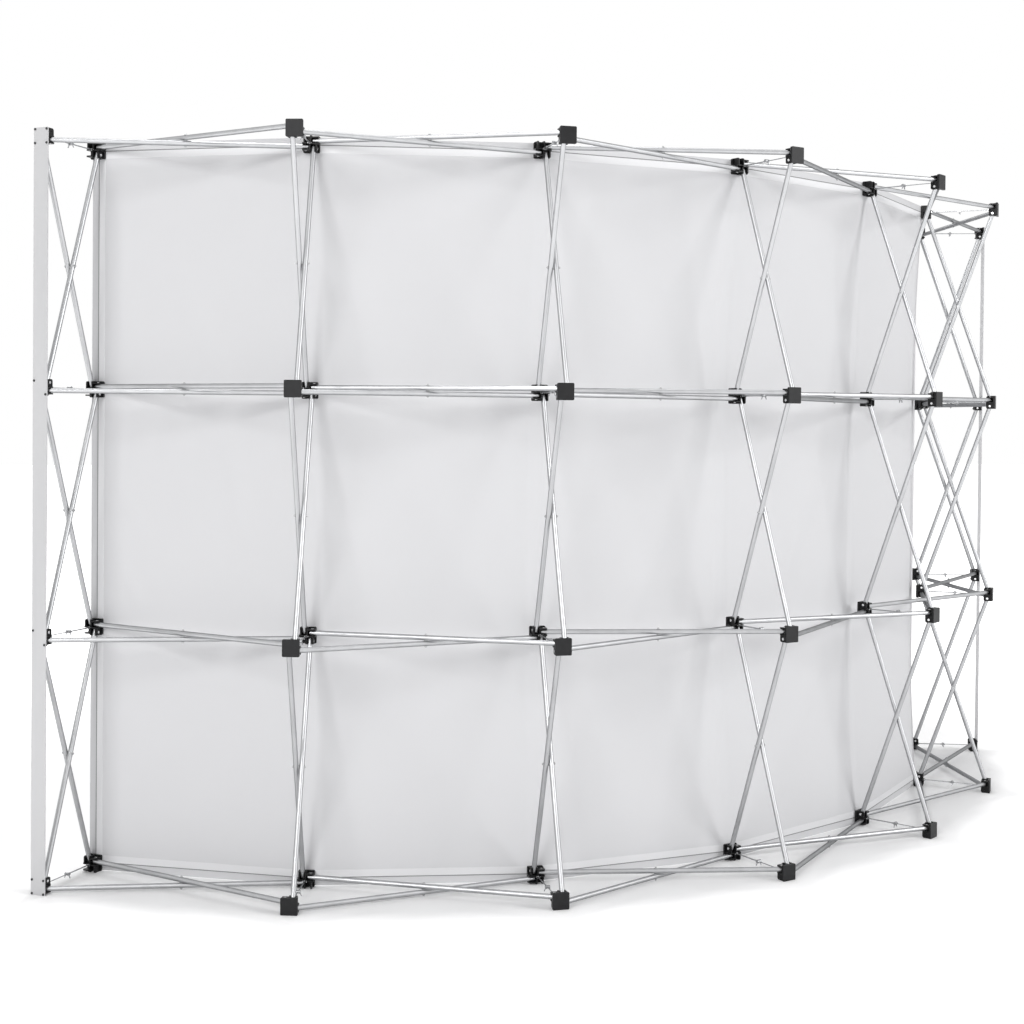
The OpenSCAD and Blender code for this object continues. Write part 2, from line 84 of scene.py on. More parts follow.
@dataclass(frozen=True)
class WallPlan:
    """The arc of the wall, repeated from the part's source."""

    row_height: float = 0.735
    bay_angle: float = math.radians(17.8)
    front_radius: float = 2.256
    rear_radius: float = 2.500
    hub_width: float = 0.050
    face_height: float = 0.0165
    plate_thickness: float = 0.003
    pad_thickness: float = 0.0015
    tape_width: float = 0.046
    tape_thickness: float = 0.0008
    seam_width: float = 0.003
    cloth_gap: float = 0.0001
    cloth_thickness: float = 0.0012
    stations: int = 7
    rows: int = 3

    @property
    def tape_radius(self) -> float:
        """Radius of the tape's inner face, at the stations."""
        stack = self.face_height + self.plate_thickness + self.pad_thickness
        return self.front_radius - stack - self.cloth_gap - self.tape_thickness

    @property
    def cloth_radius(self) -> float:
        """Radius of the cloth's rear face, at the stations."""
        return self.tape_radius - self.cloth_gap

    @property
    def half_tape(self) -> float:
        """Half the width of the tape, which is also half a pad's flat place on the cloth."""
        return self.tape_width / 2

    @property
    def half_seam(self) -> float:
        """Half the width of the sewn seam along the middle of the tape."""
        return self.seam_width / 2

    @property
    def centre_y(self) -> float:
        """Place of the arc's centre on the Y axis."""
        end = (self.stations - 1) * self.bay_angle / 2
        front = (self.cloth_radius - self.cloth_thickness) * math.cos(end)
        front -= self.half_tape * math.sin(end)
        back = self.rear_radius + self.face_height + self.plate_thickness
        return -(front + back) / 2

    def angle(self, station: float) -> float:
        """Angle of a station from the middle of the wall, in radians."""
        return (station - (self.stations + 1) / 2) * self.bay_angle

    def level(self, number: float) -> float:
        """Height of a level's hub centres."""
        return self.hub_width / 2 + number * self.row_height

    def outward(self, station: float) -> Plan:
        """Direction away from the arc's centre at a station.

        Args:
            station: Station number, or a half number for the middle of a bay.

        Returns:
            The direction's x and y.
        """
        a = self.angle(station)
        return math.sin(a), math.cos(a)

    def plan(self, station: float, radius: float, side: float = 0.0) -> Plan:
        """A plan point at a station.

        Args:
            station: Station number, from 1 at -X to 7 at +X.
            radius: Distance from the arc's centre.
            side: Distance along the wall from the station's own plane.

        Returns:
            The point's x and y.
        """
        ox, oy = self.outward(station)
        return radius * ox + side * oy, self.centre_y + radius * oy - side * ox


WALL = WallPlan()


# ---------------------------------------------------------------- finishes


# Scale of a wave texture that gives one wave a metre
WAVE_UNIT = math.pi / 10
BEVEL_SAMPLES = 4


@dataclass(frozen=True)
class Pattern:
    """A noise pattern: its features per metre, its octaves and its stretch along each axis."""

    per_metre: float
    octaves: float
    stretch: Point = (1.0, 1.0, 1.0)


class Shader:
    """A node material under construction, with short calls for the nodes it needs."""

    def __init__(self, name: str) -> None:
        """Starts a node material with a Principled shader.

        Args:
            name: The material's name.
        """
        self.material = bpy.data.materials.new(name)
        self.material.use_nodes = True
        self.tree = self.material.node_tree
        self.surface = self.tree.nodes["Principled BSDF"]
        self.output = self.tree.nodes["Material Output"]

    def node(self, kind: str, **settings: object) -> bpy.types.Node:
        """Adds a node.

        Args:
            kind: The node's type name.
            settings: Properties set on the node.

        Returns:
            The new node.
        """
        made = self.tree.nodes.new(kind)
        for key, value in settings.items():
            setattr(made, key, value)
        return made

    def link(self, source: Socket, target: Socket) -> None:
        """Joins two sockets."""
        self.tree.links.new(source, target)

    def place(self, uv: bool = False) -> Socket:
        """Gives the surface's own coordinates, in metres: the object's, or the unwrapped ones."""
        return self.node("ShaderNodeTexCoord").outputs["UV" if uv else "Object"]

    def noise(self, where: Socket, pattern: Pattern) -> Socket:
        """Adds noise.

        Args:
            where: Coordinates in metres.
            pattern: The noise's scale, octaves and stretch.

        Returns:
            The noise's factor.
        """
        mapping = self.node("ShaderNodeMapping")
        mapping.inputs["Scale"].default_value = pattern.stretch
        self.link(where, mapping.inputs["Vector"])
        made = self.node("ShaderNodeTexNoise")
        made.inputs["Scale"].default_value = pattern.per_metre
        made.inputs["Detail"].default_value = pattern.octaves
        self.link(mapping.outputs["Vector"], made.inputs["Vector"])
        return made.outputs["Fac"]

    def wave(self, where: Socket, per_metre: float, axis: str, distortion: float = 0.0) -> Socket:
        """Adds parallel waves.

        Args:
            where: Coordinates in metres.
            per_metre: Waves per metre.
            axis: Axis that the waves follow each other along.
            distortion: How far the waves wander.

        Returns:
            The wave's factor.
        """
        made = self.node("ShaderNodeTexWave", bands_direction=axis, wave_profile="SIN")
        made.inputs["Scale"].default_value = per_metre * WAVE_UNIT
        made.inputs["Distortion"].default_value = distortion
        self.link(where, made.inputs["Vector"])
        return made.outputs["Fac"]

    def maths(self, operation: str, a: Socket | float, b: Socket | float = 0.0) -> Socket:
        """Adds a sum on two sockets or numbers.

        Args:
            operation: Name of the sum.
            a: First socket or number.
            b: Second socket or number.

        Returns:
            The result.
        """
        made = self.node("ShaderNodeMath", operation=operation)
        for socket, value in zip(made.inputs, (a, b)):
            if isinstance(value, Socket):
                self.link(value, socket)
            else:
                socket.default_value = float(value)
        return made.outputs[0]

    def remap(self, value: Socket, span: Range, onto: Range, smooth: bool = False) -> Socket:
        """Maps a span of numbers onto another.

        Args:
            value: The number.
            span: The span it comes from, beyond which it stops changing.
            onto: The span it is mapped onto.
            smooth: Whether it eases in and out.

        Returns:
            The mapped number.
        """
        easing = "SMOOTHSTEP" if smooth else "LINEAR"
        made = self.node("ShaderNodeMapRange", interpolation_type=easing)
        ends = ("From Min", "From Max", "To Min", "To Max")
        for end, number in zip(ends, (*span, *onto)):
            made.inputs[end].default_value = number
        self.link(value, made.inputs["Value"])
        return made.outputs["Result"]

    def bump(self, height: Socket, depth: float, strength: float = 1.0,
             under: Socket | None = None) -> Socket:
        """Adds a bump.

        Args:
            height: Height from 0 to 1.
            depth: Height of 1, in metres.
            strength: Share of the bump that shows.
            under: Normal that the bump lies on.

        Returns:
            The new normal.
        """
        made = self.node("ShaderNodeBump")
        made.inputs["Distance"].default_value = depth
        made.inputs["Strength"].default_value = strength
        self.link(height, made.inputs["Height"])
        if under is not None:
            self.link(under, made.inputs["Normal"])
        return made.outputs["Normal"]

    def rounded(self, radius: float) -> Socket | None:
        """Rounds the look of the shape's sharp edges.

        Args:
            radius: Radius of the rounding, or 0 for none.

        Returns:
            The rounded normal, or None.
        """
        if not radius:
            return None
        made = self.node("ShaderNodeBevel", samples=BEVEL_SAMPLES)
        made.inputs["Radius"].default_value = radius
        return made.outputs["Normal"]

    def set(self, **values: float | tuple[float, ...]) -> None:
        """Sets constants on the surface shader's own sockets, named with _ for a space."""
        for key, value in values.items():
            self.surface.inputs[key.replace("_", " ")].default_value = value

    def mottle(self, factor: Socket, colour: Colour, shares: Range,
               window: Range = (0.3, 0.7)) -> None:
        """Joins a colour that varies between two shares of itself.

        Args:
            factor: What the colour varies with.
            colour: The plain colour.
            shares: Shares of it at the window's start and end.
            window: Factors between which the colour changes.
        """
        ramp = self.node("ShaderNodeValToRGB")
        for element, at, share in zip(ramp.color_ramp.elements, window, shares):
            element.position = at
            element.color = (*(min(1.0, c * share) for c in colour), 1.0)
        self.link(factor, ramp.inputs["Fac"])
        self.link(ramp.outputs["Color"], self.surface.inputs["Base Color"])

    def wear(self, factor: Socket, roughness: float, change: Range) -> None:
        """Joins a roughness that varies.

        Args:
            factor: What the roughness varies with.
            roughness: The plain roughness.
            change: What is added to it where the factor is 0 and where it is 1.
        """
        low, high = (roughness + step for step in change)
        self.link(self.remap(factor, (0.0, 1.0), (low, high)), self.surface.inputs["Roughness"])

    def normal(self, source: Socket) -> None:
        """Joins a normal to the surface."""
        self.link(source, self.surface.inputs["Normal"])


@dataclass(frozen=True)
class HardFinish:
    """A hard surface with a mottled colour, uneven gloss and a fine grain.

    The mottle gives two shares of the colour, and the gloss two changes of the roughness.
    """

    name: str
    colour: Colour
    roughness: float = 0.5
    metallic: float = 0.0
    specular: float = 0.5
    # Tint of the reflection at grazing angles, 1 for none; below 1 it paints shade along the edges
    painted_edge_tint: float = 1.0
    edge_radius: float = 0.0005
    clouds: Pattern = Pattern(60, 4)
    mottle: Range = (0.9, 1.1)
    mottle_window: Range = (0.3, 0.7)
    rubs: Pattern = Pattern(300, 4)
    gloss: Range = (-0.06, 0.08)
    grain: Pattern = Pattern(1800, 2)
    grain_depth: float = 0.00002
    grain_strength: float = 0.5

    def material(self) -> bpy.types.Material:
        """Builds the material.

        Returns:
            The finished material.
        """
        s = Shader(self.name)
        where = s.place()
        s.mottle(s.noise(where, self.clouds), self.colour, self.mottle, self.mottle_window)
        s.wear(s.noise(where, self.rubs), self.roughness, self.gloss)
        s.normal(s.bump(s.noise(where, self.grain), self.grain_depth, self.grain_strength,
                        s.rounded(self.edge_radius)))
        s.set(Metallic=self.metallic, Specular_IOR_Level=self.specular,
              Specular_Tint=(self.painted_edge_tint, self.painted_edge_tint, self.painted_edge_tint, 1.0))
        return s.material


@dataclass(frozen=True)
class Moulding(HardFinish):
    """Injection moulded plastic: fine spark grain, soft edges and slight mottling."""

    specular: float = 0.35
    edge_radius: float = 0.0006
    mottle: Range = (0.82, 1.22)
    rubs: Pattern = Pattern(240, 4)
    gloss: Range = (-0.08, 0.1)
    grain: Pattern = Pattern(2600, 2)
    grain_depth: float = 0.00005


@dataclass(frozen=True)
class DrawnTube(HardFinish):
    """Satin anodised aluminium tube: bright, with faint streaks and rubs, and a dark edge tint
    that paints shade along its edges.
    """

    roughness: float = 0.39
    metallic: float = 1.0
    # Painted shade: this dark tint darkens the reflection at grazing angles into dark outlines
    # along the tube's edges
    painted_edge_tint: float = 0.15
    edge_radius: float = 0.0
    clouds: Pattern = Pattern(22, 6, (1.0, 1.0, 0.35))
    mottle: Range = (0.94, 1.05)
    mottle_window: Range = (0.35, 0.65)
    rubs: Pattern = Pattern(420, 5)
    gloss: Range = (-0.05, 0.07)
    grain: Pattern = Pattern(1500, 3)
    grain_strength: float = 0.3


@dataclass(frozen=True)
class Metal(HardFinish):
    """Plain steel of pins, rivets and wire, with a fine brushed or tumbled surface."""

    metallic: float = 1.0
    edge_radius: float = 0.0003
    clouds: Pattern = Pattern(150, 5)
    mottle: Range = (0.86, 1.1)
    rubs: Pattern = Pattern(600, 4)
    gloss: Range = (-0.07, 0.09)
    grain_strength: float = 0.35


@dataclass(frozen=True)
class PowderCoat(HardFinish):
    """Matt powder coat on the end posts, with its fine orange peel."""

    clouds: Pattern = Pattern(7, 4, (1.0, 1.0, 0.25))
    mottle: Range = (0.97, 1.03)
    rubs: Pattern = Pattern(300, 3)
    grain: Pattern = Pattern(900, 2)
    grain_depth: float = 0.00004
    grain_strength: float = 0.6


@dataclass(frozen=True)
class WovenCloth:
    """Plain stretch weave: crossing yarns, slubs and a soft sheen.

    Its coordinates are unwrapped metres.
    """

    name: str
    colour: Colour
    yarns_per_metre: float = 1100
    yarn_wander: float = 0.4
    slubs: Pattern = Pattern(900, 3, (0.12, 1.0, 1.0))
    yarn_share: float = 0.7
    slub_share: float = 0.3
    shares: Range = (0.985, 1.012)
    window: Range = (0.2, 0.9)
    weave_depth: float = 0.00008
    weave_strength: float = 0.25

    def material(self) -> bpy.types.Material:
        """Builds the material.

        Returns:
            The finished material.
        """
        s = Shader(self.name)
        where = s.place(uv=True)
        warp, weft = (s.wave(where, self.yarns_per_metre, axis, self.yarn_wander) for axis in "XY")
        yarns = s.maths("MULTIPLY", s.maths("MAXIMUM", warp, weft), self.yarn_share)
        slubs = s.maths("MULTIPLY", s.noise(where, self.slubs), self.slub_share)
        height = s.maths("ADD", yarns, slubs)
        s.mottle(height, self.colour, self.shares, self.window)
        s.normal(s.bump(height, self.weave_depth, self.weave_strength))
        s.set(Roughness=0.92, Specular_IOR_Level=0.18, Sheen_Weight=0.05, Sheen_Roughness=0.45)
        return s.material


@dataclass(frozen=True)
class SewnTape:
    """Loop tape with a row of stitches along each side.

    Its coordinates run along and across the tape, in metres.
    """

    name: str
    colour: Colour
    width: float
    stitch_pitch: float = 0.004
    stitch_gap: float = 0.35
    stitch_inset: float = 0.0028
    stitch_half: float = 0.0005
    pulled_half: float = 0.0011
    pile: Pattern = Pattern(1400, 4)
    pile_share: float = 0.5
    pulled_share: float = 0.5
    stitch_share: float = 0.7
    shares: Range = (0.93, 1.04)
    window: Range = (0.0, 0.8)
    pile_depth: float = 0.00015
    pile_strength: float = 0.4

    def material(self) -> bpy.types.Material:
        """Builds the material.

        Returns:
            The finished material.
        """
        s = Shader(self.name)
        where = s.place(uv=True)
        split = s.node("ShaderNodeSeparateXYZ")
        s.link(where, split.inputs["Vector"])
        across = s.maths("SUBTRACT", split.outputs["Y"], self.width / 2)
        line = self.width / 2 - self.stitch_inset
        off = s.maths("ABSOLUTE", s.maths("SUBTRACT", s.maths("ABSOLUTE", across), line))
        dash = s.maths("GREATER_THAN", s.wave(where, 1 / self.stitch_pitch, "X"), self.stitch_gap)
        stitch = s.maths("MULTIPLY", dash, s.maths("LESS_THAN", off, self.stitch_half))
        pulled = s.maths("LESS_THAN", off, self.pulled_half)
        pile = s.maths("MULTIPLY", s.noise(where, self.pile), self.pile_share)
        height = s.maths("SUBTRACT", pile, s.maths("MULTIPLY", pulled, self.pulled_share))
        height = s.maths("ADD", height, s.maths("MULTIPLY", stitch, self.stitch_share))
        s.mottle(height, self.colour, self.shares, self.window)
        s.normal(s.bump(height, self.pile_depth, self.pile_strength))
        s.set(Roughness=0.95, Specular_IOR_Level=0.15, Sheen_Weight=0.25, Sheen_Roughness=0.5)
        return s.material


@dataclass(frozen=True)
class HookPile:
    """Black hook pile of the pads that the tape clings to."""

    name: str
    colour: Colour
    hooks_per_metre: float = 700
    shares: Range = (1.6, 1.0)
    window: Range = (0.1, 0.6)
    hook_depth: float = 0.0004
    hook_strength: float = 0.8

    def material(self) -> bpy.types.Material:
        """Builds the material.

        Returns:
            The finished material.
        """
        s = Shader(self.name)
        hooks = s.node("ShaderNodeTexVoronoi")
        hooks.inputs["Scale"].default_value = self.hooks_per_metre
        s.link(s.place(), hooks.inputs["Vector"])
        s.mottle(hooks.outputs["Distance"], self.colour, self.shares, self.window)
        s.normal(s.bump(hooks.outputs["Distance"], self.hook_depth, self.hook_strength))
        s.set(Roughness=0.8, Specular_IOR_Level=0.3)
        return s.material


HUB_FINISH = Moulding("hub_black", (0.006, 0.006, 0.0065), roughness=0.40, specular=0.22)
CAP_FINISH = Moulding("cap_black", (0.011, 0.011, 0.012), roughness=0.46, specular=0.28,
                      grain_depth=0.00007)
SCREW_FINISH = Moulding("screw_black", (0.020, 0.020, 0.022), roughness=0.35, specular=0.5,
                        grain_depth=0.00002, edge_radius=0.0003)
TUBE_FINISH = DrawnTube("tube_silver", (0.465, 0.47, 0.48))
PIN_FINISH = Metal("pin_steel", (0.78, 0.785, 0.79), roughness=0.25)
RIVET_FINISH = Metal("rivet_steel", (0.50, 0.505, 0.51), roughness=0.36)
ARM_FINISH = Metal("arm_steel", (0.36, 0.365, 0.375), roughness=0.34)
POST_FINISH = PowderCoat("post_grey", (0.64, 0.64, 0.65))
CLOTH_FINISH = WovenCloth("cloth_white", (0.755, 0.755, 0.77))
PAD_FINISH = HookPile("pad_black", (0.02, 0.02, 0.021))
TAPE_FINISH = SewnTape("tape_grey", (0.74, 0.74, 0.755),
                       width=WALL.half_tape - WALL.half_seam)
HEM_FINISH = WovenCloth("hem_white", (0.87, 0.87, 0.885))
# Painted shade: this dark strip sits in the groove between the two tape strips and stands in for
# the groove's shade
SEAM_SHADE_FINISH = SewnTape("seam_painted_shade", (0.30, 0.30, 0.305), width=0.002, stitch_pitch=0.003)


# ---------------------------------------------------------------- mesh helpers


def mesh_piece(name: str, points: list[Point], faces: list[Face], uvs: list[Plan] | None,
               material: bpy.types.Material, smooth: bool = True) -> bpy.types.Object:
    """Makes a mesh object.

    Args:
        name: The piece's name.
        points: Its vertices.
        faces: Its faces.
        uvs: One unwrapped place for each vertex, or None.
        material: Its finish.
        smooth: Whether its faces are shaded smooth.

    Returns:
        The new object, linked to the scene.
    """
    mesh = bpy.data.meshes.new(name)
    mesh.from_pydata(points, [], faces)
    mesh.polygons.foreach_set("use_smooth", [smooth] * len(mesh.polygons))
    if uvs is not None:
        layer = mesh.uv_layers.new(name="flat")
        for loop in mesh.loops:
            layer.data[loop.index].uv = uvs[loop.vertex_index]
    mesh.materials.append(material)
    mesh.validate()
    mesh.update()
    piece = bpy.data.objects.new(name, mesh)
    bpy.context.scene.collection.objects.link(piece)
    log.info("piece %s: %d faces", name, len(faces))
    return piece


def apply_finish(nodes: list[str], material: bpy.types.Material) -> None:
    """Gives CAD nodes a finish.

    Args:
        nodes: Names of the nodes.
        material: The finish.
    """
    for name in nodes:
        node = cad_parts[name]
        node.data.materials.clear()
        node.data.materials.append(material)
        log.info("finish %s on %s", material.name, name)


# ---------------------------------------------------------------- lattice


@dataclass
class Lattice:
    """The folding frame: hubs, tubes, caps and everything that pins them together."""

    hub: Moulding = HUB_FINISH
    cap: Moulding = CAP_FINISH
    tube: DrawnTube = TUBE_FINISH
    pin: Metal = PIN_FINISH
    rivet: Metal = RIVET_FINISH

    def dress(self) -> None:
        """Gives every CAD node of the lattice its finish."""
        levels = [level.name.lower() for level in Level]
        hubs = [f"{side}_hubs_{level}" for side in ("rear", "front") for level in levels]
        tubes = [f"cross_tubes_{level}" for level in levels]
        tubes += [f"upright_tubes_{s}" for s in range(1, WALL.stations + 1)]
        apply_finish(hubs, self.hub.material())
        apply_finish(["rear_caps", "front_plates"], self.cap.material())
        apply_finish(tubes, self.tube.material())
        apply_finish(["fork_pins", "arm_hinge_pins"], self.pin.material())
        apply_finish(["crossing_rivets", "crossing_washers"], self.rivet.material())


@dataclass
class LockingArms:
    """The 28 arms that hold the frame open, and the rods that they clip over."""

    finish: Metal = ARM_FINISH

    def dress(self) -> None:
        """Gives the arms and rods their wire finish."""
        arms = [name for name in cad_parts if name.startswith("lock_arm_")]
        apply_finish(sorted(arms) + ["lock_rods"], self.finish.material())


@dataclass
class EndPosts:
    """The flat posts screwed to the rear hubs at both ends."""

    coat: PowderCoat = POST_FINISH
    screw: Moulding = SCREW_FINISH

    def dress(self) -> None:
        """Gives both posts their coat, and their screws a black finish."""
        apply_finish(["left_end_post", "right_end_post"], self.coat.material())
        apply_finish(["post_screws"], self.screw.material())


# ---------------------------------------------------------------- fabric


@dataclass(frozen=True)
class Fold:
    """One soft tension fold, a ridge along a line on the cloth of one bay.

    Its ends are given as the share of the bay from its lower station, and the height in rows. It
    fades out past both ends, over a share of its own length.
    """

    bay: int
    start: Plan
    end: Plan
    width: float
    depth: float
    run_out: float = 0.3
    taper: float = 1.5

    def height(self, share: float, rise: float, chord: float) -> float:
        """Gives the fold's height at a place in its bay.

        Args:
            share: Share of the bay.
            rise: Height in rows.
            chord: Width of the bay's cloth.

        Returns:
            The height, positive to the rear.
        """
        (x0, z0), (x1, z1) = self.start, self.end
        ex, ey = (x1 - x0) * chord, (z1 - z0) * WALL.row_height
        px, py = (share - x0) * chord, (rise - z0) * WALL.row_height
        length = math.hypot(ex, ey)
        along = (px * ex + py * ey) / length / length + self.run_out
        reach = 1 + 2 * self.run_out
        if not 0 < along < reach:
            return 0.0
        off = (px * ey - py * ex) / length
        fade = math.sin(math.pi * along / reach) ** self.taper
        return self.depth * fade * math.exp(-((off / self.width) ** 2))


FOLDS = (
    Fold(6, (0.944, 1.619), (0.787, 1.370), 0.020, 0.0035),
    Fold(6, (0.916, 1.283), (0.811, 1.076), 0.020, 0.0035),
    Fold(6, (0.384, 1.773), (0.281, 1.423), 0.028, 0.0030),
    Fold(6, (0.616, 2.394), (0.411, 2.083), 0.030, 0.0030),
    Fold(5, (0.018, 2.961), (0.133, 2.732), 0.018, 0.0035),
    Fold(5, (0.247, 2.298), (0.078, 1.990), 0.020, 0.0035),
    Fold(4, (0.431, 1.142), (0.185, 1.634), 0.032, 0.0040),
    Fold(3, (0.497, 1.164), (0.253, 1.666), 0.032, 0.0045),
    Fold(3, (0.917, 0.075), (0.358, 0.576), 0.036, 0.0045),
)


@dataclass
class Cloth:
    """The cloth stretched over the hollow side, held by the pads of the front hubs.

    It is held along its lower and upper edges and up both ends, and draws in towards the hollow of
    the arc between them.
    """

    finish: WovenCloth = CLOTH_FINISH
    thickness: float = 0.0009
    bay_columns: int = 44
    pad_columns: int = 4
    row_lines: int = 46
    draw_in: float = 0.060
    draw_power: float = 3.0
    edge_ease: float = 6.0
    crease_reach: float = 0.07
    crease_depth: float = 0.004
    belly_depth: float = 0.008
    fold_ease: float = 0.3
    folds: tuple[Fold, ...] = FOLDS

    @property
    def chord(self) -> float:
        """Straight length of cloth between two stations' flat places."""
        ax, ay = WALL.plan(1, WALL.cloth_radius, WALL.half_tape)
        bx, by = WALL.plan(2, WALL.cloth_radius, -WALL.half_tape)
        return math.hypot(bx - ax, by - ay)

    @property
    def flat_size(self) -> Plan:
        """Width and height of the cloth as it is cut."""
        width = WALL.stations * WALL.tape_width + (WALL.stations - 1) * self.chord
        return width, WALL.rows * WALL.row_height + WALL.tape_width

    def columns(self) -> list[tuple[float, int, float]]:
        """Gives the cloth's columns.

        Returns:
            For each column, its unwrapped place, its bay and its share of the bay, where the share
            runs from -1 to 0 on the pad of the bay's lower station.
        """
        made: list[tuple[float, int, float]] = []
        run = 0.0
        for s in range(1, WALL.stations + 1):
            for k in range(self.pad_columns + 1):
                share = k / self.pad_columns
                made.append((run + WALL.tape_width * share, s, share - 1.0))
            run += WALL.tape_width
            if s < WALL.stations:
                for k in range(1, self.bay_columns):
                    share = k / self.bay_columns
                    made.append((run + self.chord * share, s, share))
                run += self.chord
        return made

    def lines(self) -> list[float]:
        """Gives the heights of the cloth's grid lines, with one on each edge of the tape.

        Returns:
            The heights, from the lowest up.
        """
        half = WALL.half_tape
        made = [WALL.level(0) - half, WALL.level(0)]
        for row in range(WALL.rows):
            start, end = WALL.level(row) + half, WALL.level(row + 1) - half
            made += [start + (end - start) * k / self.row_lines for k in range(self.row_lines + 1)]
            made.append(WALL.level(row + 1))
        made.append(WALL.level(WALL.rows) + half)
        return sorted(set(round(z, 6) for z in made))

    def spot(self, bay: int, share: float) -> tuple[Plan, Plan]:
        """Gives a flat place on the cloth's rear face.

        Args:
            bay: Bay number, which is also the number of its lower station.
            share: Share of the bay, or -1 to 0 across the pad of the lower station.

        Returns:
            The plan point and the outward direction there.
        """
        r, half = WALL.cloth_radius, WALL.half_tape
        if share <= 0:
            return WALL.plan(bay, r, half + share * WALL.tape_width), WALL.outward(bay)
        ax, ay = WALL.plan(bay, r, half)
        bx, by = WALL.plan(bay + 1, r, -half)
        return (ax + share * (bx - ax), ay + share * (by - ay)), WALL.outward(bay + 0.5)

    def station_draw(self, station: float) -> float:
        """Gives how far the cloth draws in at a station, half way up."""
        middle = (WALL.stations + 1) / 2
        return self.draw_in * (1 - abs(station - middle) / (middle - 1))

    def stand(self, bay: int, share: float, z: float) -> float:
        """Gives how far the cloth stands to the rear of the line through its held edges.

        Args:
            bay: Bay number.
            share: Share of the bay, or -1 to 0 on a pad.
            z: Height.

        Returns:
            The distance, negative to the front.
        """
        low, high = WALL.level(0) + WALL.half_tape, WALL.level(WALL.rows) - WALL.half_tape
        up = (z - low) / (high - low)
        if not 0 < up < 1:
            return 0.0
        across = max(0.0, share)
        drawn = self.station_draw(bay + across) * (1 - abs(1 - 2 * up) ** self.draw_power)
        free = min(1.0, self.edge_ease * up, self.edge_ease * (1 - up))
        crease = 0.0
        if bay + round(across) not in (1, WALL.stations):
            near = min(across, 1 - across) * self.chord
            crease = self.crease_depth * math.exp(-((near / self.crease_reach) ** 2))
        side = math.sin(math.pi * across)
        rise = (z - WALL.level(0)) / WALL.row_height
        ridges = sum(f.height(across, rise, self.chord) for f in self.folds if f.bay == bay)
        loose = ridges * side ** self.fold_ease - self.belly_depth * side - crease
        return loose * free - drawn

    def build(self) -> bpy.types.Object:
        """Builds the cloth as one closed sheet.

        Returns:
            The cloth.
        """
        columns, lines = self.columns(), self.lines()
        spots = [self.spot(bay, share) for _, bay, share in columns]
        points: list[Point] = []
        uvs: list[Plan] = []
        for back in (0.0, self.thickness):
            for z in lines:
                for (run, bay, share), ((x, y), (ox, oy)) in zip(columns, spots):
                    d = self.stand(bay, share, z) - back
                    points.append((x + ox * d, y + oy * d, z))
                    uvs.append((run, z))
        n, m = len(columns), len(lines)
        layer = n * m
        faces: list[Face] = []
        for j in range(m - 1):
            for i in range(n - 1):
                a, d = j * n + i, (j + 1) * n + i
                faces.append((a + 1, a, d, d + 1))
                faces.append((a + layer, a + 1 + layer, d + 1 + layer, d + layer))
        for i in range(n - 1):
            top = (m - 1) * n + i
            faces.append((i, i + 1, i + 1 + layer, i + layer))
            faces.append((top + 1, top, top + layer, top + 1 + layer))
        for j in range(m - 1):
            left, right = j * n, j * n + n - 1
            faces.append((left + n, left, left + layer, left + n + layer))
            faces.append((right, right + n, right + n + layer, right + layer))
        log.info("cloth: %d x %d places, cut to %.3f x %.3f m", n, m, *self.flat_size)
        return mesh_piece("stretched_cloth", points, faces, uvs, self.finish.material())


